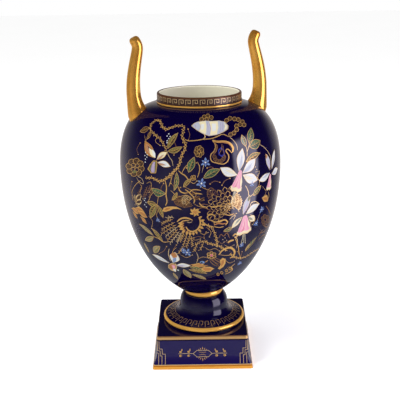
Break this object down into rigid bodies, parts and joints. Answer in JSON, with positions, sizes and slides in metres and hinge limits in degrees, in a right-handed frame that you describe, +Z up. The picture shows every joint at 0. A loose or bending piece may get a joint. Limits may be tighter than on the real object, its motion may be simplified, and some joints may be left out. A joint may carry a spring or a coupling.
{
  "type": "pedestal vase",
  "caption": "Egg-shaped glazed porcelain vase with a short neck and upright horn handles, on a turned foot and a square plinth.",
  "frame": {"origin": "on the ground under the vase's axis, at the middle of the bounding box", "axes": "+Z up along the vase's axis, +X to the right and +Y to the back, square to the plinth's faces"},
  "size_m": [0.1452, 0.1452, 0.3011],
  "materials": {
    "cobalt_glaze": "gloss",
    "gilding": "gloss",
    "white_glaze": "gloss"
  },
  "bodies": {
    "root": {"plinth": "cobalt_glaze", "pedestal_foot": "cobalt_glaze", "vase": "cobalt_glaze"}
  },
  "joints": []
}
